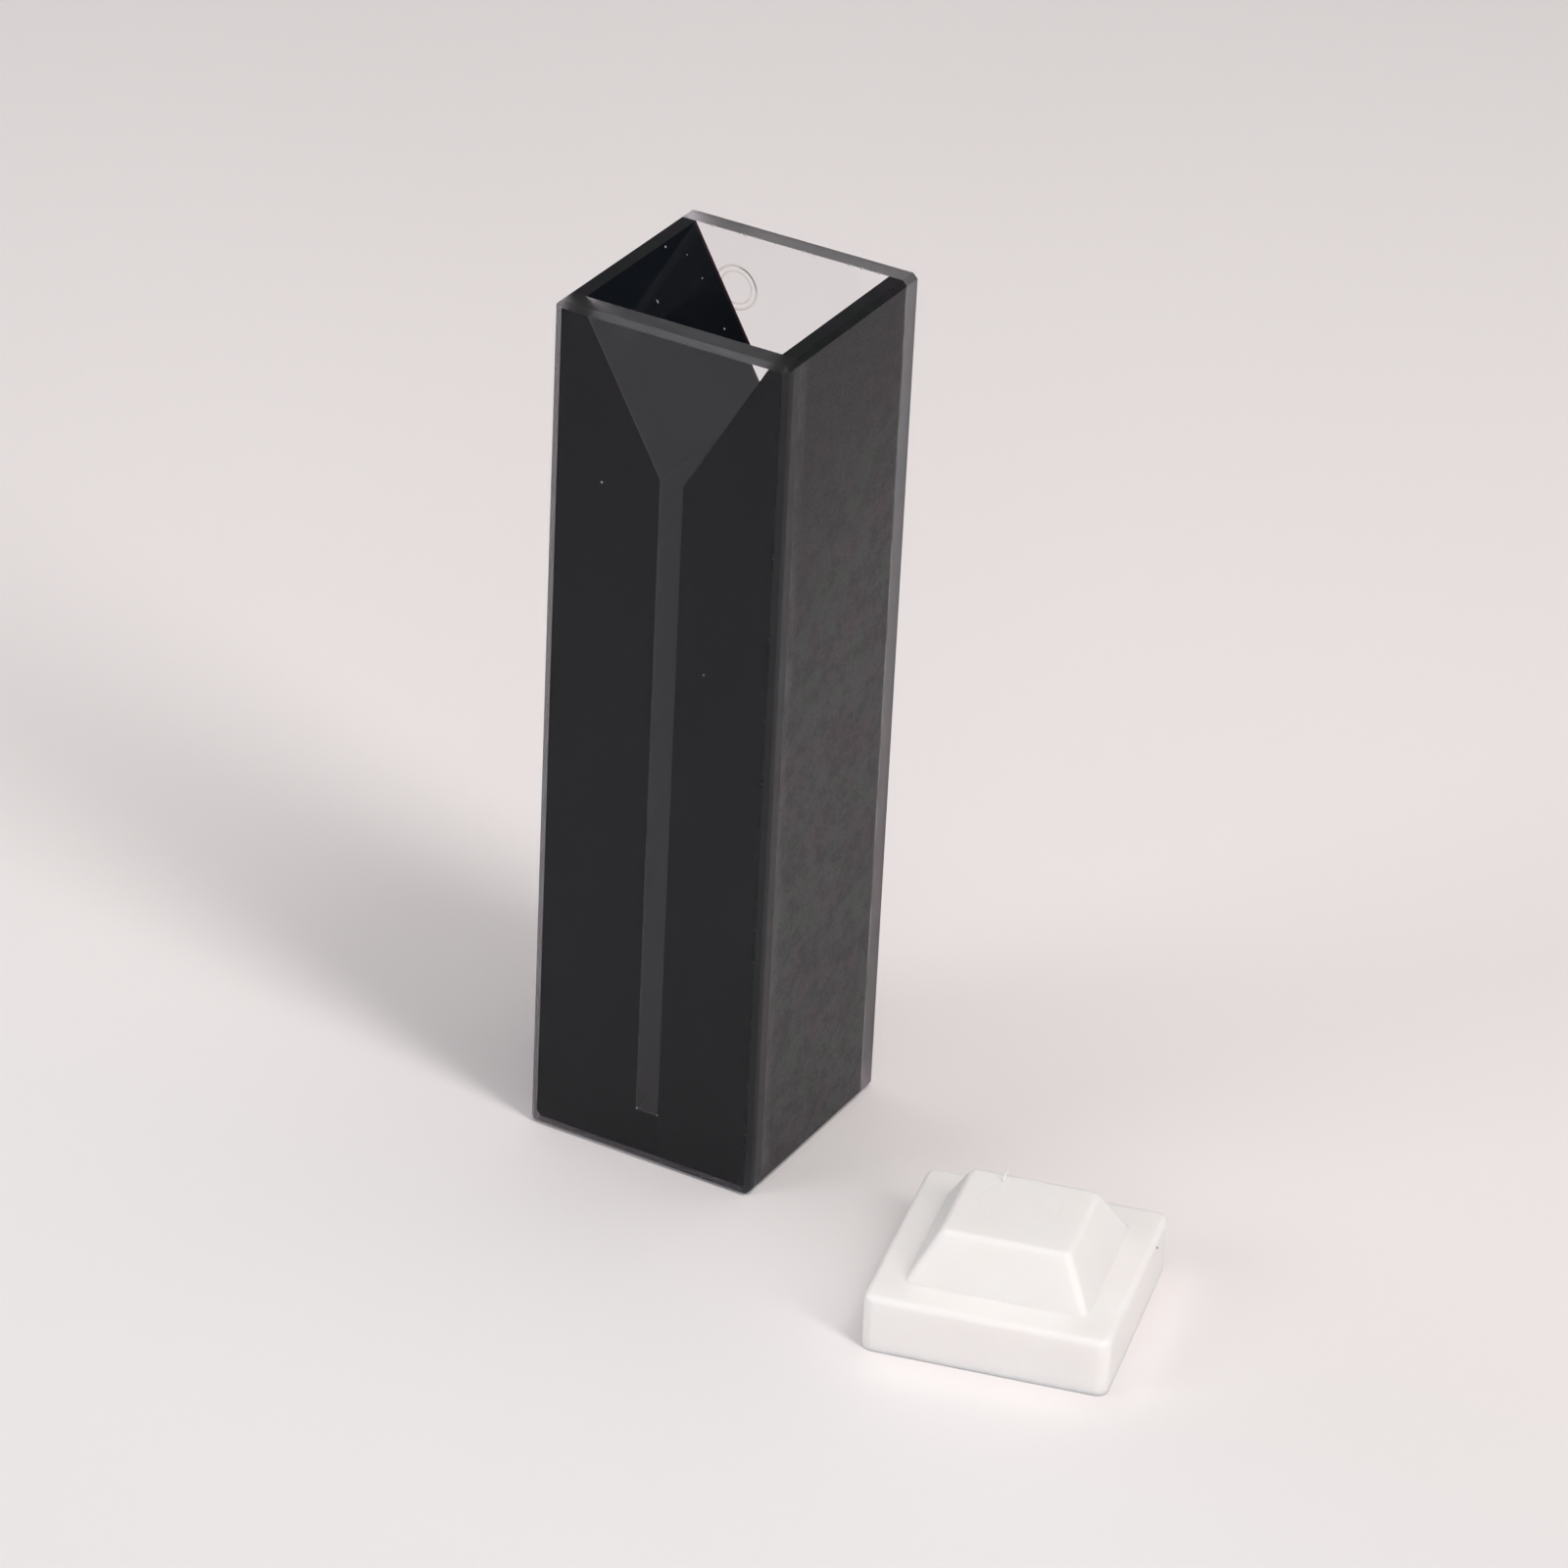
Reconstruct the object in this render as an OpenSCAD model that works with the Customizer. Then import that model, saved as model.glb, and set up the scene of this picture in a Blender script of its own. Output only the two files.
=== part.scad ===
// Spectrophotometer cuvette with a narrow sample slot: black blocks fused between two clear windows,
// and the loose lid lying upside down on the bench beside it.
// Millimetres, +Z up. The origin is the centre of the cell's base. The light path runs along Y.

/* [Cell] */
// Width across the two black sides
cell_width = 12.5; // [11:0.1:16]
// Height of the cell
cell_height = 45; // [30:0.5:60]
// Length of the light path between the two windows
light_path = 10; // [5:0.5:20]
// Thickness of each clear window
window_thickness = 1.25; // [0.8:0.05:2.5]
// Width of the ground arris along every outer edge, measured on each face
arris = 0.25; // [0.05:0.05:0.5]

/* [Chamber] */
// Width of the slot that holds the sample
slot_width = 1.25; // [0.6:0.05:4]
// Height of the black floor under the slot
floor_height = 2.3; // [1:0.1:10]
// Depth of the funnel below the rim
funnel_depth = 8; // [3:0.5:15]
// Flat rim left on each side block beside the funnel's mouth
rim_width = 1; // [0.6:0.1:3]

/* [Lid plate] */
// Thickness of the plate
plate_thickness = 3; // [1.5:0.1:6]
// How far each side of the plate stands inside the cell's outline
plate_inset = 0.25; // [0:0.05:1]
// Radius of the plate's upright corners
plate_corner = 0.6; // [0.4:0.1:2]
// Radius of the plate's upper and lower edges
plate_edge = 0.35; // [0.05:0.05:0.4]

/* [Lid plug] */
// Height of the tapered plug above the plate
plug_height = 2.45; // [1:0.05:4]
// Clearance between the foot of the plug and the funnel's mouth, on each side
plug_clearance = 0.8; // [0.2:0.1:1.5]
// Slope of the plug's sides, in degrees from the plate
plug_slope = 62; // [50:1:85]
// Radius of the plug's sloping corners
plug_corner = 0.35; // [0.2:0.05:1]
// Radius of the plug's upper edges
plug_edge = 0.15; // [0.05:0.05:0.2]

/* [Place of the lid on the bench] */
// Gap from the cell's side to the plate, before the lid is turned
lid_gap = 9.35; // [3:0.05:30]
// How far the lid's centre lies in front of the front window
lid_forward = 1.05; // [-12:0.05:20]
// Turn of the lid about its own upright axis, in degrees
lid_turn = 13.8; // [-180:0.1:180]

/* [Hidden] */

cell_depth = light_path + 2 * window_thickness;
mouth_width = cell_width - 2 * rim_width;
funnel_foot = cell_height - funnel_depth;

plate_width = cell_width - 2 * plate_inset;
plate_depth = cell_depth - 2 * plate_inset;
plug_width = mouth_width - 2 * plug_clearance;
plug_depth = light_path - 2 * plug_clearance;
plug_sink = 0.5; // stretch of the plug's taper that lies inside the plate
lid_x = cell_width / 2 + lid_gap + plate_width / 2;
lid_y = -cell_depth / 2 - lid_forward;

arc_step = 15;
corner_facets = 32;

quartz_colour = [0.80, 0.84, 0.88, 0.35];
black_quartz_colour = [0.10, 0.10, 0.11];
ptfe_colour = [0.95, 0.94, 0.92];

// ---------- Outline of the ground cell ----------

// A rectangle centred on its origin with an arris cut across each corner
module arrised_rectangle(size_x, size_y) {
    x = size_x / 2;
    y = size_y / 2;
    polygon([
        [arris - x, -y], [x - arris, -y], [x, arris - y], [x, y - arris],
        [x - arris, y], [arris - x, y], [-x, y - arris], [-x, arris - y]
    ]);
}

// The whole cell as one solid block, with the arris along all twelve edges
module cell_outline() {
    translate([0, 0, cell_height / 2])
        intersection() {
            linear_extrude(cell_height, center = true) arrised_rectangle(cell_width, cell_depth);
            rotate([90, 0, 0])
                linear_extrude(cell_depth, center = true) arrised_rectangle(cell_width, cell_height);
            rotate([90, 0, 90])
                linear_extrude(cell_width, center = true) arrised_rectangle(cell_depth, cell_height);
        }
}

// The part of the cell between two planes across the light path
module cell_slice(y_from, y_to) {
    intersection() {
        cell_outline();
        translate([-cell_width, y_from, -1]) cube([2 * cell_width, y_to - y_from, cell_height + 2]);
    }
}

// ---------- Clear windows ----------

module front_window() {
    color(quartz_colour) cell_slice(-cell_depth / 2, -light_path / 2);
}

module rear_window() {
    color(quartz_colour) cell_slice(light_path / 2, cell_depth / 2);
}

// ---------- Black core ----------

// Section of the right side block: outer side, flat rim, funnel slope, slot wall and foot
module side_block_section() {
    polygon([
        [cell_width / 2, 0],
        [cell_width / 2, cell_height],
        [mouth_width / 2, cell_height],
        [slot_width / 2, funnel_foot],
        [slot_width / 2, 0]
    ]);
}

// A section drawn in X and Z, carried along the light path from window to window
module along_light_path() {
    rotate([90, 0, 0]) linear_extrude(light_path, center = true) children();
}

module right_block() {
    color(black_quartz_colour)
        intersection() {
            cell_outline();
            along_light_path() side_block_section();
        }
}

module left_block() {
    mirror([1, 0, 0]) right_block();
}

// Fills the foot of the slot between the two side blocks
module floor_block() {
    color(black_quartz_colour)
        along_light_path()
            translate([-slot_width / 2, 0]) square([slot_width, floor_height]);
}

// ---------- Lid ----------

// Points of a quarter round of radius r about [x, y], from one angle to the next
function quarter_round(x, y, r, start) =
    [for (a = [start : arc_step : start + 90]) [x + r * cos(a), y + r * sin(a)]];

// An upright round post with its foot and its head rounded; a foot of 0 stays sharp
module rounded_post(radius, height, foot, head) {
    rotate_extrude($fn = corner_facets)
        polygon(concat(
            [[0, 0]],
            foot > 0 ? quarter_round(radius - foot, foot, foot, -90) : [[radius, 0]],
            quarter_round(radius - head, height - head, head, 0),
            [[0, height]]
        ));
}

// Copies of a post of the given radius at the four corners of a rectangle that they just fill
module at_corners(size_x, size_y, radius) {
    for (x = [-1, 1], y = [-1, 1])
        translate([x * (size_x / 2 - radius), y * (size_y / 2 - radius), 0]) children();
}

module lid_plate() {
    hull()
        at_corners(plate_width, plate_depth, plate_corner)
            rounded_post(plate_corner, plate_thickness, plate_edge, plate_edge);
}

// A frustum that narrows away from the plate at the same slope on all four sides
module lid_plug() {
    taper = 2 / tan(plug_slope);
    crown = plug_height - plug_edge;
    hull() {
        translate([0, 0, plate_thickness - plug_sink])
            at_corners(plug_width + taper * plug_sink, plug_depth + taper * plug_sink, plug_corner)
                rounded_post(plug_corner, plug_edge, 0, 0.01);
        translate([0, 0, plate_thickness + plug_height - 2 * plug_edge])
            at_corners(plug_width - taper * crown, plug_depth - taper * crown, plug_corner)
                rounded_post(plug_corner, 2 * plug_edge, plug_edge, plug_edge);
    }
}

module lid() {
    color(ptfe_colour)
        translate([lid_x, lid_y, 0])
            rotate([0, 0, lid_turn]) {
                lid_plate();
                lid_plug();
            }
}

front_window();
rear_window();
left_block();
right_block();
floor_block();
lid();
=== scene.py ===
import math
import random

import bmesh
import bpy
from mathutils import Matrix, Vector


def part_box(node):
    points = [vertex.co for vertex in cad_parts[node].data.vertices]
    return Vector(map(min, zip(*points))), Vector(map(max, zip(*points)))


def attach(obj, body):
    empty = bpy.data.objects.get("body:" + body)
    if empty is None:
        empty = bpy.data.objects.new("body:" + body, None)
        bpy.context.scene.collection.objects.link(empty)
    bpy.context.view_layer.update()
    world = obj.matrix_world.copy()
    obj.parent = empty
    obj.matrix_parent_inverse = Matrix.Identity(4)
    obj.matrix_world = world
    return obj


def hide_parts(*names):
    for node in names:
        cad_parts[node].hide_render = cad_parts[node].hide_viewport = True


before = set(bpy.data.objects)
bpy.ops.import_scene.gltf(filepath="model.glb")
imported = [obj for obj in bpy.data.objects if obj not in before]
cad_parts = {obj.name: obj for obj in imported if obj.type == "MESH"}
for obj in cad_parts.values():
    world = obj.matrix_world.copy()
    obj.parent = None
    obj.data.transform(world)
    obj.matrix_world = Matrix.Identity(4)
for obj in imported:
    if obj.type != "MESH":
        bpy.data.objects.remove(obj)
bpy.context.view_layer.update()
mm = 0.001  # Blender and the frame are in metres, every size below is in millimetres
tolerance = 0.002 * mm  # how far two places may differ and still count as the same

# tools for the modelling

latheSteps = 96  # straight pieces to a turned circle


def selectOnly(piece):
    bpy.ops.object.select_all(action="DESELECT")
    piece.select_set(True)
    bpy.context.view_layer.objects.active = piece


def addBlock(name, low, high):
    bpy.ops.object.select_all(action="DESELECT")
    bpy.ops.mesh.primitive_cube_add(size=1, location=(low + high) / 2, scale=high - low)
    bpy.context.object.name = name
    bpy.ops.object.transform_apply(location=True, rotation=True, scale=True)
    return bpy.context.object


# In edit mode, selects what passes the test and nothing else.
def pick(piece, kind, test):
    bpy.ops.mesh.select_mode(type=kind)
    bpy.ops.mesh.select_all(action="DESELECT")
    mesh = bmesh.from_edit_mesh(piece.data)
    for part in {"VERT": mesh.verts, "EDGE": mesh.edges, "FACE": mesh.faces}[kind]:
        if test(part):
            part.select_set(True)
    mesh.select_flush_mode()
    bmesh.update_edit_mesh(piece.data)


def near(a, b):
    return abs(a - b) < tolerance


def facesUp(face):
    return face.normal.z > 0.5


# True where both ends of the edge have these coordinates.
def edgeLies(edge, **planes):
    return all(
        near(getattr(vertex.co, axis), value)
        for vertex in edge.verts
        for axis, value in planes.items()
    )


def openEdit(piece):
    selectOnly(piece)
    bpy.ops.object.mode_set(mode="EDIT")


def closeEdit():
    bpy.ops.mesh.select_all(action="SELECT")
    bpy.ops.mesh.normals_make_consistent(inside=False)
    bpy.ops.object.mode_set(mode="OBJECT")


# A solid ring about Z from a section of radii and heights, set in place by a matrix.
def addLathe(name, profile, place):
    bpy.ops.object.select_all(action="DESELECT")
    radius, height = profile[0]
    bpy.ops.mesh.primitive_circle_add(
        vertices=latheSteps, radius=radius * mm, location=(0, 0, height * mm)
    )
    solid = bpy.context.object
    solid.name = name
    bpy.ops.object.transform_apply(location=True, rotation=True, scale=True)
    openEdit(solid)
    bpy.ops.mesh.select_all(action="SELECT")
    for (radius, height), (nextRadius, nextHeight) in zip(profile, profile[1:]):
        bpy.ops.mesh.extrude_edges_move(
            TRANSFORM_OT_translate={"value": (0, 0, (nextHeight - height) * mm)}
        )
        bpy.ops.transform.resize(value=(nextRadius / radius, nextRadius / radius, 1))
    pick(solid, "EDGE", lambda e: e.is_boundary)
    bpy.ops.mesh.bridge_edge_loops()
    closeEdit()
    solid.data.transform(place)
    return solid


# Section of a cutter for a round groove. It stands as far above the face as it cuts into it, so
# the cutter is twice as wide as the groove.
def grooveProfile(radius, halfWidth, depth):
    return (
        (radius - 2 * halfWidth, depth),
        (radius, -depth),
        (radius + 2 * halfWidth, depth),
    )


def carve(piece, cutter):
    selectOnly(piece)
    cut = piece.modifiers.new("cut", "BOOLEAN")
    cut.operation = "DIFFERENCE"
    cut.solver = "EXACT"
    cut.use_self = True
    cut.object = cutter
    bpy.ops.object.modifier_apply(modifier=cut.name)
    bpy.data.objects.remove(cutter)


def finishPiece(piece, slotName, *nodes):
    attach(piece, "root")
    if nodes:
        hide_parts(*nodes)


# Each finish is a material and the test of the faces that wear it. The first that fits is taken.
def paint(piece, *finishes):
    piece.data.materials.clear()
    for material, _ in finishes:
        piece.data.materials.append(material)
    for face in piece.data.polygons:
        for index, (_, test) in enumerate(finishes):
            if test(face):
                face.material_index = index
                break


# tools for the materials


# Turns an sRGB hex value to the linear colour that nodes take.
def toLinear(hexColour):
    parts = [int(hexColour[i : i + 2], 16) / 255 for i in (1, 3, 5)]
    return tuple(c / 12.92 if c <= 0.04045 else ((c + 0.055) / 1.055) ** 2.4 for c in parts) + (1,)


def addNode(tree, kind, settings, links=None):
    node = tree.nodes.new(kind)
    for name, value in settings.items():
        if isinstance(name, int) or name in node.inputs:
            node.inputs[name].default_value = value
        else:
            setattr(node, name, value)
    for name, source in (links or {}).items():
        tree.links.new(source, node.inputs[name])
    return node


def startMaterial(name, **settings):
    material = bpy.data.materials.new(name)
    material.use_nodes = True
    tree = material.node_tree
    tree.nodes.clear()
    surface = addNode(tree, "ShaderNodeBsdfPrincipled", settings)
    addNode(tree, "ShaderNodeOutputMaterial", {}, {"Surface": surface.outputs["BSDF"]})
    place = addNode(tree, "ShaderNodeTexCoord", {}).outputs["Object"]
    return material, tree, surface, place


# Noise scale for features of this many millimetres, on coordinates in metres.
def perMm(size):
    return 1 / (size * mm)


# camera

cameraSizes = {
    "target": (3.735, 0, 19.459),  # what it looks at
    "distance": 339.0,  # from there
    "azimuth": 28.606,  # degrees, from the front towards the cell's right side
    "elevation": 29.792,  # degrees
    "roll": 2.85,  # degrees
    "lens": 161.57,  # focal length, on a sensor of this width
    "sensor": 36,
    "clip": (10, 20000),  # nearest and farthest that it sees
}
azimuth, elevation, roll = (
    math.radians(cameraSizes[angle]) for angle in ("azimuth", "elevation", "roll")
)
# The way from the target back to the camera.
back = Vector(
    (
        math.sin(azimuth) * math.cos(elevation),
        -math.cos(azimuth) * math.cos(elevation),
        math.sin(elevation),
    )
)
levelRight = (-back).cross(Vector((0, 0, 1))).normalized()
levelUp = levelRight.cross(-back)
right = levelRight * math.cos(roll) + levelUp * math.sin(roll)
up = levelUp * math.cos(roll) - levelRight * math.sin(roll)
bpy.ops.object.camera_add()
camera = bpy.context.object
camera.name = "benchCamera"
camera.matrix_world = Matrix.Translation(
    (Vector(cameraSizes["target"]) + back * cameraSizes["distance"]) * mm
) @ Matrix((right, up, back)).transposed().to_4x4()
camera.data.lens = cameraSizes["lens"]
camera.data.sensor_width = cameraSizes["sensor"]
camera.data.clip_start, camera.data.clip_end = (reach * mm for reach in cameraSizes["clip"])
bpy.context.scene.camera = camera
print("camera set")

# bench and light

benchSizes = {
    "side": 9000,  # far wider than the view
    "drop": 0.005,  # below the pieces that stand on it, so that no two faces share a plane
}
bpy.ops.mesh.primitive_plane_add(
    size=benchSizes["side"] * mm, location=(0, 0, -benchSizes["drop"] * mm)
)
bench = bpy.context.object
bench.name = "benchTop"

# White laminate board, matt: a warm white, more neutral towards the front, with a barely visible
# tooth.
benchLaminate, tree, surface, place = startMaterial(
    "matt white laminate", **{"Roughness": 0.6, "Specular IOR Level": 0.25}
)
tooth = addNode(
    tree,
    "ShaderNodeTexNoise",
    {"Scale": perMm(0.5), "Detail": 3, "Roughness": 0.6},
    {"Vector": place},
)
cloud = addNode(tree, "ShaderNodeTexNoise", {"Scale": perMm(70), "Detail": 1}, {"Vector": place})
warm = addNode(
    tree,
    "ShaderNodeMix",
    {"data_type": "RGBA", 6: toLinear("#F4EEED"), 7: toLinear("#F8F2F1")},
    {0: cloud.outputs["Fac"]},
)
axes = addNode(tree, "ShaderNodeSeparateXYZ", {}, {"Vector": place})
nearness = addNode(
    tree,
    "ShaderNodeMapRange",
    {"interpolation_type": "SMOOTHSTEP", "From Min": 10 * mm, "From Max": -30 * mm},
    {"Value": axes.outputs["Y"]},
)
shade = addNode(
    tree,
    "ShaderNodeMix",
    {"data_type": "RGBA", 7: toLinear("#F5F2F2")},
    {0: nearness.outputs["Result"], 6: warm.outputs[2]},
)
dent = addNode(
    tree,
    "ShaderNodeBump",
    {"Strength": 0.15, "Distance": 0.02 * mm},
    {"Height": tooth.outputs["Fac"]},
)
tree.links.new(shade.outputs[2], surface.inputs["Base Color"])
tree.links.new(dent.outputs["Normal"], surface.inputs["Normal"])
bench.data.materials.append(benchLaminate)

lightPlan = {
    # name: azimuth from +X towards +Y, elevation, distance, width, height, watts, colour
    "overheadPanel": (90, 87, 300, 300, 300, 0.51, "#FFFCFA"),
    "keyPanel": (-16, 44, 900, 190, 920, 4.3, "#FFFCFA"),
    "fillPanel": (-130, 30, 1100, 400, 400, 1.7, "#F8F8FC"),
    "frontPanel": (-60, 18, 1100, 500, 300, 1.2, "#F8F8FC"),
    "sidePanel": (170, 14, 1100, 500, 300, 1.8, "#F8F8FC"),
}
for name, (around, above, distance, width, height, watts, colour) in lightPlan.items():
    around, above = math.radians(around), math.radians(above)
    toLight = Vector(
        (
            math.cos(around) * math.cos(above),
            math.sin(around) * math.cos(above),
            math.sin(above),
        )
    )
    bpy.ops.object.light_add(type="AREA", location=toLight * distance * mm)
    lamp = bpy.context.object
    lamp.name = name
    lamp.rotation_mode = "QUATERNION"
    lamp.rotation_quaternion = toLight.to_track_quat("Z", "Y")
    lamp.data.shape = "RECTANGLE"
    lamp.data.size, lamp.data.size_y = width * mm, height * mm
    lamp.data.energy = watts
    lamp.data.color = toLinear(colour)[:3]

# The room round the bench: pale at the height of the bench in front and at the sides, dim above
# and behind.
room = bpy.data.worlds.new("studioRoom")
bpy.context.scene.world = room
room.use_nodes = True
tree = room.node_tree
tree.nodes.clear()
roomLight = {
    "pale": "#DCDEE4",
    "dim": "#2C2F36",
    "height": 0.5,  # sine of the height above which the room is dim
    "behind": 0.8,  # how far towards the back it is dim, and
    "before": -0.3,  # how far towards the front it is pale, both as parts of the direction
}
direction = addNode(tree, "ShaderNodeTexCoord", {}).outputs["Generated"]
axes = addNode(tree, "ShaderNodeSeparateXYZ", {}, {"Vector": direction})
lowness = addNode(
    tree,
    "ShaderNodeMapRange",
    {"interpolation_type": "SMOOTHSTEP", "From Min": roomLight["height"], "From Max": 0.0},
    {"Value": axes.outputs["Z"]},
)
frontness = addNode(
    tree,
    "ShaderNodeMapRange",
    {
        "interpolation_type": "SMOOTHSTEP",
        "From Min": roomLight["behind"],
        "From Max": roomLight["before"],
    },
    {"Value": axes.outputs["Y"]},
)
share = addNode(
    tree,
    "ShaderNodeMath",
    {"operation": "MULTIPLY"},
    {0: lowness.outputs["Result"], 1: frontness.outputs["Result"]},
)
tone = addNode(
    tree,
    "ShaderNodeMix",
    {"data_type": "RGBA", 6: toLinear(roomLight["dim"]), 7: toLinear(roomLight["pale"])},
    {0: share.outputs["Value"]},
)
glow = addNode(tree, "ShaderNodeBackground", {"Strength": 1.0}, {"Color": tone.outputs[2]})
addNode(tree, "ShaderNodeOutputWorld", {}, {"Surface": glow.outputs["Background"]})
bpy.context.scene.view_settings.view_transform = "Standard"
print("bench and light set")

# finishes

quartzIor = 1.458  # of fused quartz, clear or black
ptfeIor = 1.35

# Fused silica, lapped and polished: water-clear, with faint wipe marks.
silicaPolished, tree, surface, place = startMaterial(
    "fused silica polished",
    **{
        "Base Color": toLinear("#FCFCFD"),
        "Transmission Weight": 1.0,
        "IOR": quartzIor,
        "Specular Tint": toLinear("#D0D1D7"),
    },
)
wipe = addNode(
    tree,
    "ShaderNodeMapping",
    {"Scale": (1, 1, 0.3), "Rotation": (0, 0.5, 0)},
    {"Vector": place},
)
smear = addNode(
    tree,
    "ShaderNodeTexNoise",
    {"Scale": perMm(2.5), "Detail": 3},
    {"Vector": wipe.outputs["Vector"]},
)
haze = addNode(
    tree,
    "ShaderNodeMapRange",
    {"From Min": 0.55, "From Max": 0.85, "To Min": 0.0, "To Max": 0.012},
    {"Value": smear.outputs["Fac"]},
)
tree.links.new(haze.outputs["Result"], surface.inputs["Roughness"])

# Fused silica, fine ground: frosted, so it gathers grey from what lies behind it.
silicaGround, tree, surface, place = startMaterial(
    "fused silica ground",
    **{"Base Color": toLinear("#F0F0F6"), "Transmission Weight": 1.0, "IOR": quartzIor},
)
# The grit is drawn coarser than it is, or it wouldn't show.
grit = addNode(tree, "ShaderNodeTexNoise", {"Scale": perMm(0.12), "Detail": 2}, {"Vector": place})
frost = addNode(
    tree,
    "ShaderNodeMapRange",
    {"From Min": 0.3, "From Max": 0.7, "To Min": 0.6, "To Max": 0.63},
    {"Value": grit.outputs["Fac"]},
)
scratch = addNode(
    tree,
    "ShaderNodeBump",
    {"Strength": 0.2, "Distance": 0.01 * mm},
    {"Height": grit.outputs["Fac"]},
)
tree.links.new(frost.outputs["Result"], surface.inputs["Roughness"])
tree.links.new(scratch.outputs["Normal"], surface.inputs["Normal"])

# Fused silica straight from the saw: scatters a little light back, mauve to blue along its length,
# rougher on the left, and carries painted shade that darkens it towards its right-hand arrises.
silicaSawn, tree, surface, place = startMaterial(
    "fused silica sawn",
    **{"Transmission Weight": 0.965, "IOR": quartzIor},
)
# The grit is drawn coarser than it is, or it wouldn't show.
grit = addNode(tree, "ShaderNodeTexNoise", {"Scale": perMm(0.12), "Detail": 2}, {"Vector": place})
frost = addNode(
    tree,
    "ShaderNodeMapRange",
    {"From Min": 0.3, "From Max": 0.7, "To Min": 0.615, "To Max": 0.665},
    {"Value": grit.outputs["Fac"]},
)
drift = addNode(tree, "ShaderNodeTexNoise", {"Scale": perMm(5), "Detail": 2}, {"Vector": place})
cast = addNode(
    tree,
    "ShaderNodeMapRange",
    {"From Min": 0.4, "From Max": 0.6},
    {"Value": drift.outputs["Fac"]},
)
hue = addNode(
    tree,
    "ShaderNodeMix",
    {"data_type": "RGBA", 6: toLinear("#F8EAF0"), 7: toLinear("#EAEEF8")},
    {0: cast.outputs["Result"]},
)
axes = addNode(tree, "ShaderNodeSeparateXYZ", {}, {"Vector": place})
coarse = addNode(  # rougher by this much for each metre to the left
    tree,
    "ShaderNodeMath",
    {"operation": "MULTIPLY_ADD", 1: -5.6},
    {0: axes.outputs["X"], 2: frost.outputs["Result"]},
)
fromMiddle = addNode(tree, "ShaderNodeMath", {"operation": "ABSOLUTE"}, {0: axes.outputs["Y"]})
frontWider = addNode(  # the painted shade along the rim is a little wider on the front window
    tree,
    "ShaderNodeMath",
    {"operation": "MULTIPLY_ADD", 1: -0.04},
    {0: axes.outputs["Y"], 2: fromMiddle.outputs["Value"]},
)
outwards = addNode(  # and on the right
    tree,
    "ShaderNodeMath",
    {"operation": "MULTIPLY_ADD", 1: 0.1},
    {0: axes.outputs["X"], 2: frontWider.outputs["Value"]},
)
# Painted shade: a dark blue-grey tint laid along the arrises, standing in for their shading.
rim = addNode(
    tree,
    "ShaderNodeMapRange",
    {"interpolation_type": "SMOOTHSTEP", "From Min": 6.33 * mm, "From Max": 6.6 * mm},
    {"Value": outwards.outputs["Value"]},
)
paintedArrisShade = addNode(
    tree,
    "ShaderNodeMix",
    {"data_type": "RGBA", 7: toLinear("#5E6276")},
    {0: rim.outputs["Result"], 6: hue.outputs[2]},
)
scratch = addNode(
    tree,
    "ShaderNodeBump",
    {"Strength": 0.2, "Distance": 0.01 * mm},
    {"Height": grit.outputs["Fac"]},
)
tree.links.new(paintedArrisShade.outputs[2], surface.inputs["Base Color"])
tree.links.new(coarse.outputs["Value"], surface.inputs["Roughness"])
tree.links.new(scratch.outputs["Normal"], surface.inputs["Normal"])

# Fused silica with a dried residue in the groove: clear still, but brownish and dull.
silicaStained, tree, surface, place = startMaterial(
    "fused silica stained",
    **{"Transmission Weight": 1.0, "IOR": quartzIor, "Roughness": 0.12},
)
fleck = addNode(tree, "ShaderNodeTexNoise", {"Scale": perMm(0.4), "Detail": 2}, {"Vector": place})
stain = addNode(
    tree,
    "ShaderNodeMix",
    {"data_type": "RGBA", 6: toLinear("#D6C8C0"), 7: toLinear("#F2ECE8")},
    {0: fleck.outputs["Fac"]},
)
tree.links.new(stain.outputs[2], surface.inputs["Base Color"])

# Black quartz fused to a window: no air gap, so it has no gloss of its own and shows as a flat
# deep black.
blackFused, tree, surface, place = startMaterial(
    "black quartz fused face",
    **{"Roughness": 1.0, "Specular IOR Level": 0.0},
)
cloud = addNode(tree, "ShaderNodeTexNoise", {"Scale": perMm(3), "Detail": 2}, {"Vector": place})
black = addNode(
    tree,
    "ShaderNodeMix",
    {"data_type": "RGBA", 6: toLinear("#050507"), 7: toLinear("#090A0C")},
    {0: cloud.outputs["Fac"]},
)
tree.links.new(black.outputs[2], surface.inputs["Base Color"])

# Black quartz polished inside the chamber: a mirror-smooth black, with a painted maroon glow along
# the fused edges standing in for light that shows through the thin black there.
blackPolished, tree, surface, place = startMaterial(
    "black quartz polished",
    **{"IOR": quartzIor, "Specular IOR Level": 0.1},
)
smear = addNode(tree, "ShaderNodeTexNoise", {"Scale": perMm(1.2), "Detail": 3}, {"Vector": place})
gloss = addNode(
    tree,
    "ShaderNodeMapRange",
    {"From Min": 0.4, "From Max": 0.8, "To Min": 0.03, "To Max": 0.12},
    {"Value": smear.outputs["Fac"]},
)
black = addNode(
    tree,
    "ShaderNodeMix",
    {"data_type": "RGBA", 6: toLinear("#0F1216"), 7: toLinear("#14171C")},
    {0: smear.outputs["Fac"]},
)
axes = addNode(tree, "ShaderNodeSeparateXYZ", {}, {"Vector": place})
fromMiddle = addNode(tree, "ShaderNodeMath", {"operation": "ABSOLUTE"}, {0: axes.outputs["Y"]})
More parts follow.
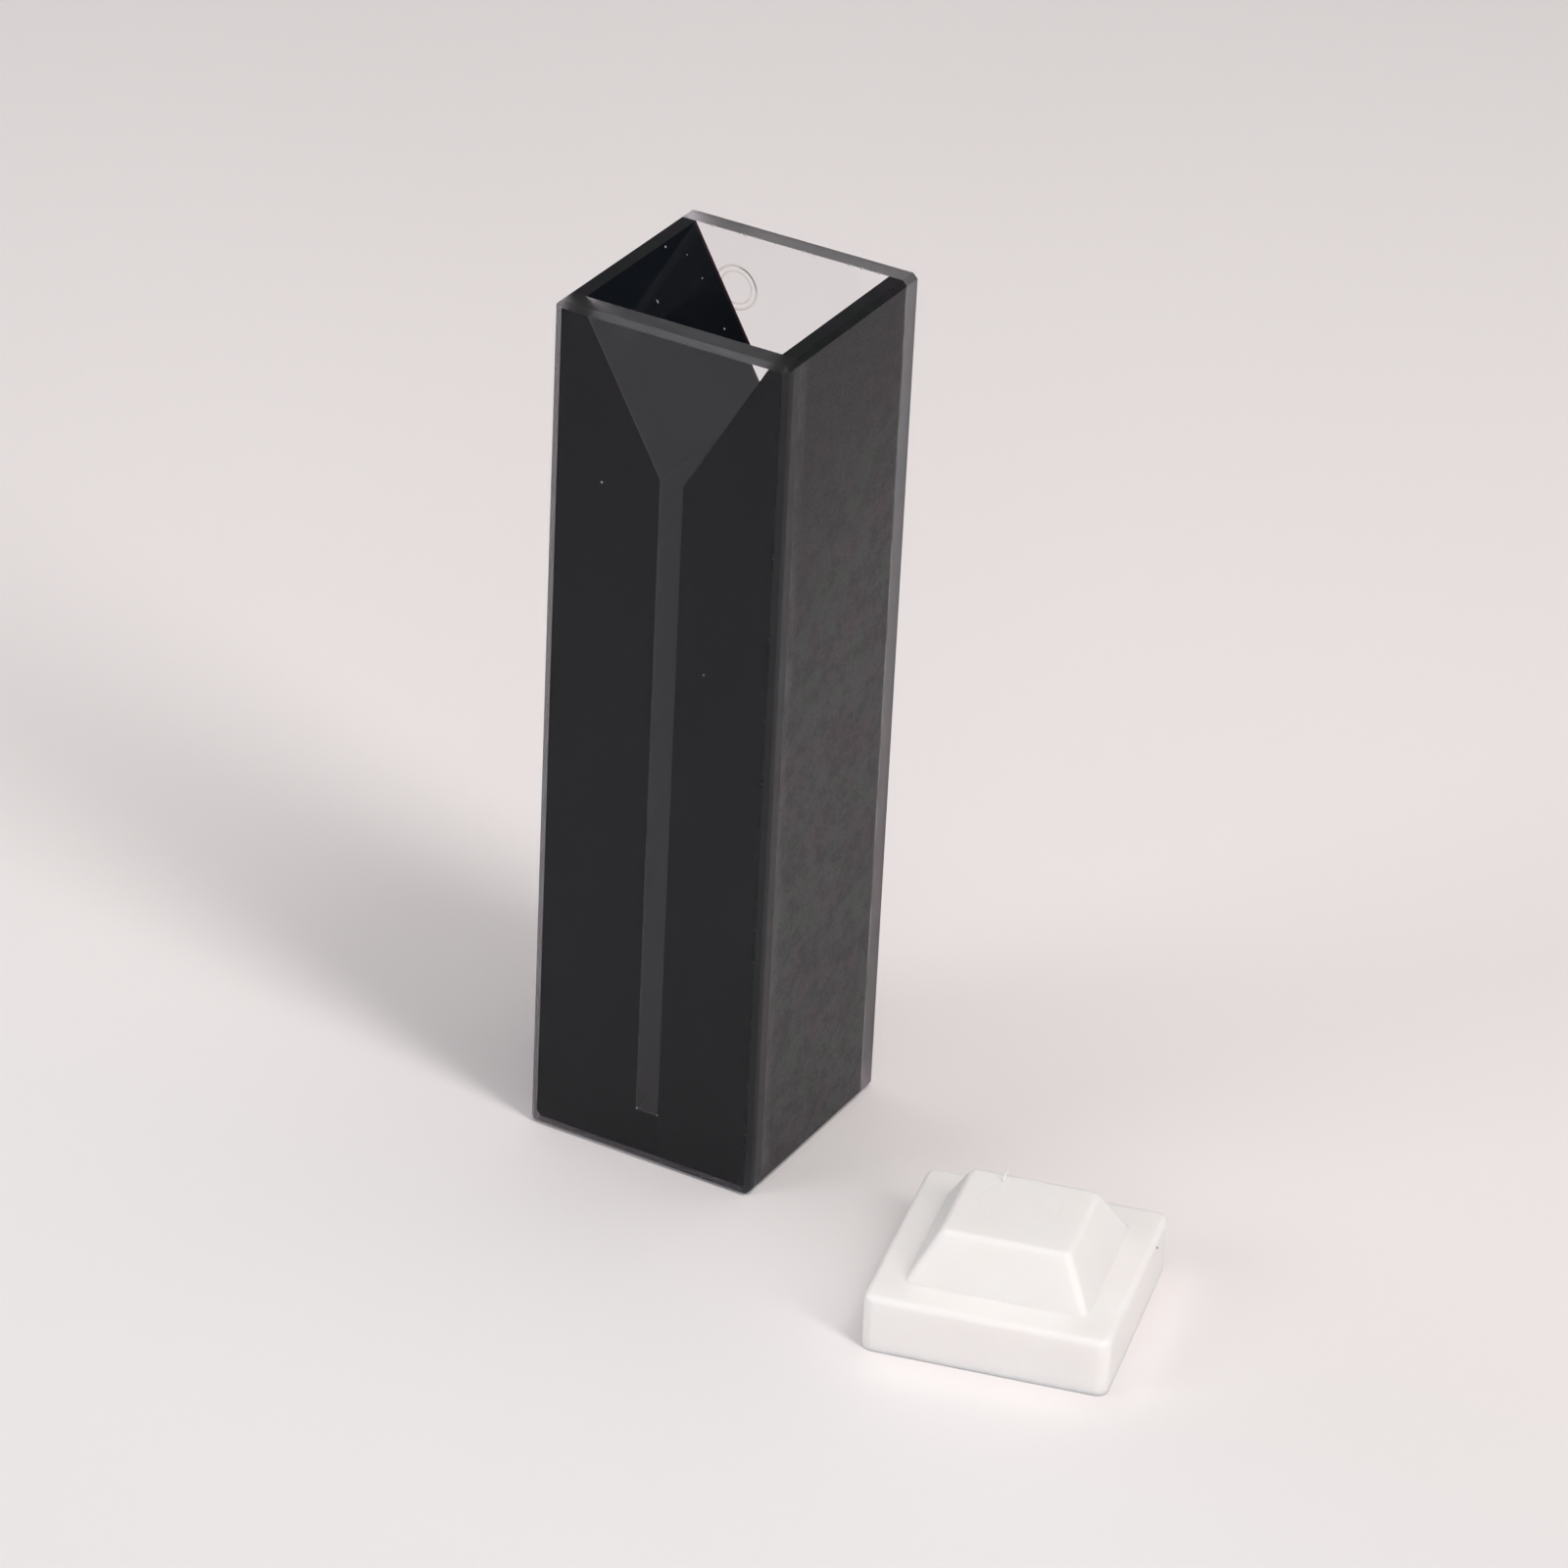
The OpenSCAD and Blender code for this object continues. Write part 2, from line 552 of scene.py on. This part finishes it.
# Painted light: a maroon glow is mixed in within 0.28 mm of each window.
atWindow = addNode(
    tree,
    "ShaderNodeMapRange",
    {"interpolation_type": "SMOOTHSTEP", "From Min": 4.72 * mm, "From Max": 5.0 * mm},
    {"Value": fromMiddle.outputs["Value"]},
)
paintedMaroonGlow = addNode(
    tree,
    "ShaderNodeMix",
    {"data_type": "RGBA", 7: toLinear("#3C2A30")},
    {0: atWindow.outputs["Result"], 6: black.outputs[2]},
)
tree.links.new(gloss.outputs["Result"], surface.inputs["Roughness"])
tree.links.new(paintedMaroonGlow.outputs[2], surface.inputs["Base Color"])

# Black quartz, ground: a dark grey satin, mottled green and purple, darker at the mouth, with a
# pale broken line of chips along each joint.
blackGround, tree, surface, place = startMaterial(
    "black quartz ground",
    **{"IOR": quartzIor, "Specular IOR Level": 0.4},
)
axes = addNode(tree, "ShaderNodeSeparateXYZ", {}, {"Vector": place})
patchy = addNode(
    tree,
    "ShaderNodeTexNoise",
    {"Scale": perMm(2.6), "Detail": 7, "Roughness": 0.72},
    {"Vector": place},
)
cloudy = addNode(
    tree,
    "ShaderNodeMapRange",
    {"From Min": 0.42, "From Max": 0.58},
    {"Value": patchy.outputs["Fac"]},
)
paler = addNode(
    tree,
    "ShaderNodeMix",
    {"data_type": "RGBA", 6: toLinear("#343A37"), 7: toLinear("#3A3139")},
    {0: cloudy.outputs["Result"]},
)
darker = addNode(
    tree,
    "ShaderNodeMix",
    {"data_type": "RGBA", 6: toLinear("#141817"), 7: toLinear("#18151A")},
    {0: cloudy.outputs["Result"]},
)
frontHeight = addNode(  # height, read higher towards the front so that the shade lies aslant
    tree, "ShaderNodeVectorMath", {"operation": "DOT_PRODUCT", 1: (0, -0.7, 1)}, {0: place}
)
towardsMouth = addNode(
    tree,
    "ShaderNodeMapRange",
    {"interpolation_type": "SMOOTHSTEP", "From Min": 24 * mm, "From Max": 48 * mm},
    {"Value": frontHeight.outputs["Value"]},
)
mottled = addNode(
    tree,
    "ShaderNodeMix",
    {"data_type": "RGBA"},
    {0: towardsMouth.outputs["Result"], 6: paler.outputs[2], 7: darker.outputs[2]},
)
apart = addNode(
    tree,
    "ShaderNodeMapping",
    {"Scale": (1, 0.9, 1.1), "Location": (0, 0.02, 0)},
    {"Vector": place},
)
pits = addNode(
    tree,
    "ShaderNodeTexNoise",
    {"Scale": perMm(1.1), "Detail": 6, "Roughness": 0.75},
    {"Vector": apart.outputs["Vector"]},
)
smudge = addNode(
    tree,
    "ShaderNodeMapRange",
    {"From Min": 0.45, "From Max": 0.58, "To Max": 0.52},
    {"Value": pits.outputs["Fac"]},
)
smudged = addNode(
    tree,
    "ShaderNodeMix",
    {"data_type": "RGBA", 7: toLinear("#0C0C0E")},
    {0: smudge.outputs["Result"], 6: mottled.outputs[2]},
)
drawnOut = addNode(tree, "ShaderNodeMapping", {"Scale": (1, 1, 0.25)}, {"Vector": place})
broken = addNode(
    tree,
    "ShaderNodeTexNoise",
    {"Scale": perMm(0.5), "Detail": 3},
    {"Vector": drawnOut.outputs["Vector"]},
)
rearSeam = addNode(
    tree,
    "ShaderNodeMapRange",
    {"From Min": 4.86 * mm, "From Max": 4.95 * mm},
    {"Value": axes.outputs["Y"]},
)
frontSeam = addNode(
    tree,
    "ShaderNodeMapRange",
    {
        "interpolation_type": "SMOOTHSTEP",
        "From Min": -4.0 * mm,
        "From Max": -5.0 * mm,
        "To Max": 0.16,
    },
    {"Value": axes.outputs["Y"]},
)
seams = addNode(
    tree,
    "ShaderNodeMath",
    {},
    {0: rearSeam.outputs["Result"], 1: frontSeam.outputs["Result"]},
)
chipped = addNode(
    tree,
    "ShaderNodeMapRange",
    {"From Min": 0.4, "From Max": 0.6, "To Min": 0.35, "To Max": 1.0},
    {"Value": broken.outputs["Fac"]},
)
sideOnly = addNode(
    tree,
    "ShaderNodeMapRange",
    {"From Min": 44.8 * mm, "From Max": 44.7 * mm},
    {"Value": axes.outputs["Z"]},
)
shown = addNode(
    tree,
    "ShaderNodeMath",
    {"operation": "MULTIPLY"},
    {0: chipped.outputs["Result"], 1: sideOnly.outputs["Result"]},
)
seamed = addNode(
    tree,
    "ShaderNodeMath",
    {"operation": "MULTIPLY"},
    {0: seams.outputs["Value"], 1: shown.outputs["Value"]},
)
jointed = addNode(
    tree,
    "ShaderNodeMix",
    {"data_type": "RGBA", 7: toLinear("#8A8686")},
    {0: seamed.outputs["Value"], 6: smudged.outputs[2]},
)
# The grit is drawn coarser than it is, or it wouldn't show.
grit = addNode(
    tree,
    "ShaderNodeTexNoise",
    {"Scale": perMm(0.14), "Detail": 3, "Roughness": 0.6},
    {"Vector": place},
)
satin = addNode(
    tree,
    "ShaderNodeMapRange",
    {"From Min": 0.3, "From Max": 0.7, "To Min": 0.4, "To Max": 0.54},
    {"Value": grit.outputs["Fac"]},
)
scratch = addNode(
    tree,
    "ShaderNodeBump",
    {"Strength": 0.5, "Distance": 0.012 * mm},
    {"Height": grit.outputs["Fac"]},
)
tree.links.new(jointed.outputs[2], surface.inputs["Base Color"])
tree.links.new(satin.outputs["Result"], surface.inputs["Roughness"])
tree.links.new(scratch.outputs["Normal"], surface.inputs["Normal"])

# PTFE, skived and machined: waxy and translucent, so its edges glow and its shadows are soft.
ptfe, tree, surface, place = startMaterial(
    "ptfe machined",
    **{
        "IOR": ptfeIor,
        "Subsurface Weight": 1.0,
        "Subsurface Radius": (1.0, 0.93, 0.88),
        "Subsurface Scale": 0.6 * mm,
        "Specular IOR Level": 0.35,
    },
)
cloud = addNode(tree, "ShaderNodeTexNoise", {"Scale": perMm(2.5), "Detail": 3}, {"Vector": place})
white = addNode(
    tree,
    "ShaderNodeMix",
    {"data_type": "RGBA", 6: toLinear("#F3EEEB"), 7: toLinear("#F8F5F2")},
    {0: cloud.outputs["Fac"]},
)
# The cutter's marks are drawn coarser than they are, or they wouldn't show.
cut = addNode(tree, "ShaderNodeTexNoise", {"Scale": perMm(0.3), "Detail": 2}, {"Vector": place})
satin = addNode(
    tree,
    "ShaderNodeMapRange",
    {"From Min": 0.3, "From Max": 0.7, "To Min": 0.42, "To Max": 0.55},
    {"Value": cut.outputs["Fac"]},
)
scratch = addNode(
    tree,
    "ShaderNodeBump",
    {"Strength": 0.15, "Distance": 0.02 * mm},
    {"Height": cut.outputs["Fac"]},
)
tree.links.new(white.outputs[2], surface.inputs["Base Color"])
tree.links.new(satin.outputs["Result"], surface.inputs["Roughness"])
tree.links.new(scratch.outputs["Normal"], surface.inputs["Normal"])

# PTFE shaving: the same plastic too thin to glow, a plain white satin.
shaving, tree, surface, place = startMaterial("ptfe shaving", **{"IOR": ptfeIor, "Roughness": 0.5})
cloud = addNode(tree, "ShaderNodeTexNoise", {"Scale": perMm(0.1), "Detail": 1}, {"Vector": place})
white = addNode(
    tree,
    "ShaderNodeMix",
    {"data_type": "RGBA", 6: toLinear("#F5F1EE"), 7: toLinear("#FAF8F6")},
    {0: cloud.outputs["Fac"]},
)
tree.links.new(white.outputs[2], surface.inputs["Base Color"])

# Cotton lint: matt off-white fluff.
lint, tree, surface, place = startMaterial(
    "cotton lint",
    **{"Roughness": 0.9, "Specular IOR Level": 0.2},
)
fluff = addNode(tree, "ShaderNodeTexNoise", {"Scale": perMm(0.05), "Detail": 1}, {"Vector": place})
shade = addNode(
    tree,
    "ShaderNodeMix",
    {"data_type": "RGBA", 6: toLinear("#B4B8BA"), 7: toLinear("#E6E8E8")},
    {0: fluff.outputs["Fac"]},
)
tree.links.new(shade.outputs[2], surface.inputs["Base Color"])

# Bench grime: a brown-grey grain.
grime, tree, surface, place = startMaterial("bench grime", **{"Roughness": 0.8})
fluff = addNode(tree, "ShaderNodeTexNoise", {"Scale": perMm(0.05), "Detail": 1}, {"Vector": place})
shade = addNode(
    tree,
    "ShaderNodeMix",
    {"data_type": "RGBA", 6: toLinear("#756C64"), 7: toLinear("#978C82")},
    {0: fluff.outputs["Fac"]},
)
tree.links.new(shade.outputs[2], surface.inputs["Base Color"])
print("finishes made")

# clear windows and black core

coreSizes = {
    "arris": 0.25,  # taken off both faces along each outer edge
    "rim": 1.0,  # flat land beside the funnel's mouth
    "funnelDepth": 8.0,  # from the mouth to where the slot begins
    "fusion": 0.015,  # how far the black is taken into each window, so that no light slips between
    "soften": 0.03,  # rounding of the polished chamber's edges
    "hollowRim": 0.12,  # flat left round the hollow in the slot's floor
    "hollowDepth": 0.06,
}

windowSizes = {
    "arris": 0.25,  # as on the core
    "ringSide": 2.92,  # from the window's left side to the middle of the ring mark
    "ringDrop": 3.27,  # from its top
    # each circle of the mark: its radius, half its width and its depth
    "rings": ((1.13, 0.06, 0.022), (0.84, 0.045, 0.01)),
    "markReach": 1.3,  # a little more than the outer circle's radius
    "chips": 30,  # along the rear window's inner edge, over the mouth
    "edgeChips": 26,  # along the front window's right upright edge
    "chipSize": (0.025, 0.07),  # smallest and largest radius
    "chipLength": (0.8, 2.2),  # shortest and longest, as parts of that radius
    "chipHeight": (0.5, 0.9),  # the same for its height
    "chipPlace": (0.02, 0.98),  # first and last place on the edge, as parts of its length
    "chipTurn": 3,  # how far a chip may be turned about each axis, in radians
}


# A block with arrises on all edges but those of the face at this Y, which is fused to the core.
def makeWindow(name, node, inner):
    low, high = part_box(node)
    window = addBlock(name, low, high)
    openEdit(window)
    pick(window, "EDGE", lambda e: not edgeLies(e, y=inner))
    bpy.ops.mesh.bevel(offset=windowSizes["arris"] * mm, segments=1, affect="EDGES")
    closeEdit()
    return window


# The two large faces, apart from what is cut into them.
def isPolished(face):
    return abs(face.normal.y) > 0.98


# All but the top and its arrises, which are ground finer.
def isSawn(face):
    return face.normal.z < 0.3


# Cuts tiny shell-shaped chips along the edge from start to end.
def chipEdge(piece, start, end, count, seed):
    dice = random.Random(seed)
    flakes = []
    for _ in range(count):
        spot = start.lerp(end, dice.uniform(*windowSizes["chipPlace"]))
        bpy.ops.object.select_all(action="DESELECT")
        bpy.ops.mesh.primitive_ico_sphere_add(
            subdivisions=2,
            radius=dice.uniform(*windowSizes["chipSize"]) * mm,
            location=spot,
            rotation=[dice.uniform(0, windowSizes["chipTurn"]) for _ in range(3)],
            scale=(
                dice.uniform(*windowSizes["chipLength"]),
                1,
                dice.uniform(*windowSizes["chipHeight"]),
            ),
        )
        flakes.append(bpy.context.object)
    for flake in flakes:
        flake.select_set(True)
    bpy.context.view_layer.objects.active = flakes[0]
    bpy.ops.object.join()
    carve(piece, bpy.context.object)


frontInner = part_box("front_window")[1].y
frontWindow = makeWindow("frontWindow", "front_window", frontInner)
low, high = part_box("front_window")
nearEdge = high.x - windowSizes["arris"] * mm
chipEdge(
    frontWindow,
    Vector((nearEdge, low.y, low.z)),
    Vector((nearEdge, low.y, high.z)),
    windowSizes["edgeChips"],
    seed=7,
)
paint(
    frontWindow,
    (silicaPolished, isPolished),
    (silicaSawn, isSawn),
    (silicaGround, lambda f: True),
)
finishPiece(frontWindow, "clear_quartz", "front_window")

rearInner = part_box("rear_window")[0].y
rearWindow = makeWindow("rearWindow", "rear_window", rearInner)
low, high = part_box("rear_window")
ringAt = Vector(
    (low.x + windowSizes["ringSide"] * mm, high.y, high.z - windowSizes["ringDrop"] * mm),
)
for ring in windowSizes["rings"]:
    ringCutter = addLathe(
        "ringCutter",
        grooveProfile(*ring),
        Matrix.Translation(ringAt) @ Matrix.Rotation(math.radians(-90), 4, "X"),
    )
    carve(rearWindow, ringCutter)
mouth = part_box("right_block")[1].x - coreSizes["rim"] * mm
chipEdge(
    rearWindow,
    Vector((-mouth, rearInner, high.z)),
    Vector((mouth, rearInner, high.z)),
    windowSizes["chips"],
    seed=4,
)


# The sloping sides of the mark's grooves.
def inRing(face):
    nearMark = (face.center - ringAt).length < windowSizes["markReach"] * mm
    return nearMark and face.normal.y > 0.3 and not isPolished(face)


paint(
    rearWindow,
    (silicaStained, inRing),
    (silicaPolished, isPolished),
    (silicaSawn, isSawn),
    (silicaGround, lambda f: True),
)
finishPiece(rearWindow, "clear_quartz", "rear_window")
print("windows made")


# The faces that are fused to the windows.
def isFused(face):
    return abs(face.normal.y) > 0.5


# Draws the rims of both fused ends inwards, so that no black lies in the windows' skin.
def tuckIn(block, front, rear):
    pick(block, "EDGE", lambda e: edgeLies(e, y=front) or edgeLies(e, y=rear))
    bpy.ops.mesh.bevel(offset=coreSizes["fusion"] * mm, segments=1, affect="EDGES")


def makeSideBlock(name, node, side):  # side is -1 for the left block and 1 for the right one
    low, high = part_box(node)
    low.y -= coreSizes["fusion"] * mm
    high.y += coreSizes["fusion"] * mm
    block = addBlock(name, low, high)
    outer, inner = (low.x, high.x) if side < 0 else (high.x, low.x)
    # The funnel's slope runs from lip to foot, and what lies above it is cut away.
    lip = Vector((outer - side * coreSizes["rim"] * mm, 0, high.z))
    foot = Vector((inner, 0, high.z - coreSizes["funnelDepth"] * mm))
    along = (foot - lip).normalized()
    away = Vector((-abs(along.z) * side, 0, abs(along.x)))
    openEdit(block)
    bpy.ops.mesh.select_all(action="SELECT")
    bpy.ops.mesh.bisect(plane_co=lip, plane_no=away, use_fill=True, clear_outer=True)
    pick(block, "EDGE", lambda e: edgeLies(e, x=lip.x, z=lip.z) or edgeLies(e, x=foot.x, z=foot.z))
    bpy.ops.mesh.bevel(offset=coreSizes["soften"] * mm, segments=2, affect="EDGES")
    pick(block, "EDGE", lambda e: edgeLies(e, x=outer, z=low.z) or edgeLies(e, x=outer, z=high.z))
    bpy.ops.mesh.bevel(offset=coreSizes["arris"] * mm, segments=1, affect="EDGES")
    tuckIn(block, low.y, high.y)
    closeEdit()
    paint(
        block,
        (blackFused, isFused),
        (blackPolished, lambda f: f.normal.x * side < -0.3),  # faces the chamber
        (blackGround, lambda f: True),
    )
    return block


leftBlock = makeSideBlock("leftBlock", "left_block", -1)
finishPiece(leftBlock, "black_quartz", "left_block")
rightBlock = makeSideBlock("rightBlock", "right_block", 1)
finishPiece(rightBlock, "black_quartz", "right_block")

low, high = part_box("floor_block")
low.y -= coreSizes["fusion"] * mm
high.y += coreSizes["fusion"] * mm
floorBlock = addBlock("floorBlock", low, high)
openEdit(floorBlock)
pick(floorBlock, "FACE", facesUp)
bpy.ops.mesh.inset(thickness=coreSizes["hollowRim"] * mm)
bpy.ops.transform.translate(value=(0, 0, -coreSizes["hollowDepth"] * mm))
tuckIn(floorBlock, low.y, high.y)
closeEdit()
paint(
    floorBlock,
    (blackPolished, facesUp),
    (blackFused, isFused),
    (blackGround, lambda f: True),
)
finishPiece(floorBlock, "black_quartz", "floor_block")
print("black core made")

# lid

lidSizes = {
    "plate": (12.0, 12.0, 3.0),  # width, depth and thickness
    "foot": (8.9, 8.4),  # width and depth of the plug where it leaves the plate
    "crown": (6.3, 5.8),  # the same at its top
    "height": 5.45,  # of plate and plug together
    # each rounding: its radius and its number of steps
    "corner": (0.6, 6),  # the plate's upright corners
    "edge": (0.3, 4),  # its upper edges
    "sole": (0.02, 3),  # its lower edges
    "ridge": (0.35, 5),  # the plug's sloping corners
    "brow": (0.24, 3),  # its upper edges
    "root": (0.12, 3),  # fillet between plug and plate
    "smoothBelow": 25,  # degrees, an edge that turns more stays sharp
    "turnMark": (-0.15, 0.75),  # middle of the ring that the cutter left on the plug
    "turnGroove": (1.95, 0.08, 0.03),  # the ring's radius, half its width and its depth
    "centre": (21.6, -7.3),  # where it lies on the bench
    "turn": 13.8,  # degrees
}
plateWide, plateDeep, thick = lidSizes["plate"]
footWide, footDeep = lidSizes["foot"]
crownWide, crownDeep = lidSizes["crown"]
tall = lidSizes["height"]
# A plate, with the plug drawn up out of its top and narrowed.
lid = addBlock(
    "plugLid",
    Vector((-plateWide / 2, -plateDeep / 2, 0)) * mm,
    Vector((plateWide / 2, plateDeep / 2, thick)) * mm,
)
openEdit(lid)
pick(lid, "FACE", facesUp)
bpy.ops.mesh.inset(thickness=(plateWide - footWide) / 2 * mm)
bpy.ops.transform.resize(value=(1, footDeep / footWide, 1))
bpy.ops.mesh.extrude_region_move(TRANSFORM_OT_translate={"value": (0, 0, (tall - thick) * mm)})
bpy.ops.transform.resize(value=(crownWide / footWide, crownDeep / footDeep, 1))


def roundOff(test, rounding):
    radius, steps = rounding
    pick(lid, "EDGE", test)
    bpy.ops.mesh.bevel(offset=radius * mm, segments=steps, affect="EDGES")


# How far the edge climbs, in millimetres.
def rise(edge):
    return abs(edge.verts[0].co.z - edge.verts[1].co.z) / mm


# How much of a face's normal is upright: next to nothing on a wall, all of it on a flat.
wall = (0, 0.1)
slope = (0.1, 0.9)
flat = 0.99


# True for an edge at this height between a flat and a face of this kind.
def atHeight(edge, height, kind):
    tilts = sorted(abs(f.normal.z) for f in edge.link_faces)
    least, most = kind
    return edgeLies(edge, z=height * mm) and tilts[-1] > flat and least <= tilts[0] < most


roundOff(lambda e: near(rise(e) * mm, thick * mm), lidSizes["corner"])
roundOff(lambda e: near(rise(e) * mm, (tall - thick) * mm), lidSizes["ridge"])
roundOff(lambda e: atHeight(e, thick, wall), lidSizes["edge"])
roundOff(lambda e: atHeight(e, 0, wall), lidSizes["sole"])
roundOff(lambda e: atHeight(e, tall, slope), lidSizes["brow"])
roundOff(lambda e: atHeight(e, thick, slope), lidSizes["root"])
closeEdit()
turnCutter = addLathe(
    "turnCutter",
    grooveProfile(*lidSizes["turnGroove"]),
    Matrix.Translation(Vector((*lidSizes["turnMark"], tall)) * mm),
)
carve(lid, turnCutter)
lidPlace = Matrix.Translation(Vector((*lidSizes["centre"], 0)) * mm) @ Matrix.Rotation(
    math.radians(lidSizes["turn"]), 4, "Z"
)
lid.data.transform(lidPlace)
selectOnly(lid)
bpy.ops.object.shade_smooth_by_angle(angle=math.radians(lidSizes["smoothBelow"]))
# The flats stay flat beside their rounded edges.
flatShading = lid.modifiers.new("flatShading", "WEIGHTED_NORMAL")
flatShading.keep_sharp = True
bpy.ops.object.modifier_apply(modifier=flatShading.name)
paint(lid, (ptfe, lambda f: True))
finishPiece(lid, "ptfe", "lid")
print("lid made")

# dust and shavings

dustSizes = {
    # each fleck: its place, its radius and how long it is for its width
    "flecks": (
        ((-5.15, 2.00, 44.82), 0.04, 1.5),
        ((-4.69, 3.28, 44.04), 0.022, 1.2),
        ((-4.01, 3.63, 42.86), 0.026, 1.6),
        ((-4.17, -0.24, 43.12), 0.036, 3.4),
        ((-2.68, 3.61, 40.56), 0.034, 1.8),
        ((-3.34, -6.25, 36.40), 0.036, 1.3),
        ((2.56, -6.25, 27.94), 0.026, 1.1),
        # These two are pale flecks set at the slot's foot corners as painted glints.
        ((-0.58, -4.96, 2.34), 0.034, 1.2),
        ((0.57, -4.96, 2.33), 0.028, 1.0),
    ),
    "grain": ((26.93, -3.16, 3.0), 0.045, 1.0),
    # each shaving: where it stands on the plug in the lid's own directions, its thickness and its
    # path from there
    "burrs": (
        (
            (-1.33, 2.7),
            0.09,
            (
                (0, 0, -0.05),
                (0.02, 0.02, 0.15),
                (0.02, 0.05, 0.32),
                (0.06, 0.04, 0.46),
                (0.05, 0, 0.58),
            ),
        ),
        (
            (-1.45, 2.2),
            0.18,
            (
                (0, 0, -0.05),
                (0.02, 0, 0.1),
                (0.06, 0.06, 0.22),
                (0.1, 0.16, 0.32),
                (0.12, 0.26, 0.36),
            ),
        ),
    ),
    "tilt": 0.4,  # how far a fleck may lean each way, in radians
    "crumple": 0.3,  # how far its corners may be moved, as a part of its radius
    "sides": 8,  # of a shaving
    "taper": 0.75,  # how much of its thickness a shaving keeps at each step
}


def addFleck(name, place, radius, stretch, dice):
    bpy.ops.object.select_all(action="DESELECT")
    bpy.ops.mesh.primitive_ico_sphere_add(
        subdivisions=2,
        radius=radius * mm,
        location=Vector(place) * mm,
        rotation=[dice.uniform(-dustSizes["tilt"], dustSizes["tilt"]) for _ in range(3)],
        scale=(1, 1, stretch),
    )
    fleck = bpy.context.object
    fleck.name = name
    bpy.ops.object.transform_apply(location=True, rotation=True, scale=True)
    for vertex in fleck.data.vertices:
        crumple = [dice.uniform(-dustSizes["crumple"], dustSizes["crumple"]) for _ in range(3)]
        vertex.co += Vector(crumple) * radius * mm
    return fleck


dice = random.Random(11)
flecks = [addFleck("dustFlecksAndGlints", *fleck, dice) for fleck in dustSizes["flecks"]]
for fleck in flecks:
    fleck.select_set(True)
bpy.context.view_layer.objects.active = flecks[0]
bpy.ops.object.join()
dust = bpy.context.object
paint(dust, (lint, lambda f: True))
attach(dust, "root")
grain = addFleck("lidGrain", *dustSizes["grain"], dice)
paint(grain, (grime, lambda f: True))
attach(grain, "root")


# A shaving that thins along its path.
def addBurr(name, start, thick, path):
    bpy.ops.object.select_all(action="DESELECT")
    bpy.ops.mesh.primitive_circle_add(
        vertices=dustSizes["sides"],
        radius=thick / 2 * mm,
        fill_type="NGON",
        location=Vector(path[0]) * mm,
    )
    burr = bpy.context.object
    burr.name = name
    bpy.ops.object.transform_apply(location=True, rotation=True, scale=True)
    openEdit(burr)
    bpy.ops.mesh.select_all(action="SELECT")
    for last, spot in zip(path, path[1:]):
        step = (Vector(spot) - Vector(last)) * mm
        bpy.ops.mesh.extrude_region_move(TRANSFORM_OT_translate={"value": step})
        bpy.ops.transform.resize(value=[dustSizes["taper"]] * 3)
    closeEdit()
    burr.data.transform(lidPlace @ Matrix.Translation(Vector((*start, lidSizes["height"])) * mm))
    selectOnly(burr)
    bpy.ops.object.shade_smooth()
    paint(burr, (shaving, lambda f: True))
    finishPiece(burr, "ptfe")


for count, burr in enumerate(dustSizes["burrs"], start=1):
    addBurr(f"lidBurr{count}", *burr)
print("dust laid")
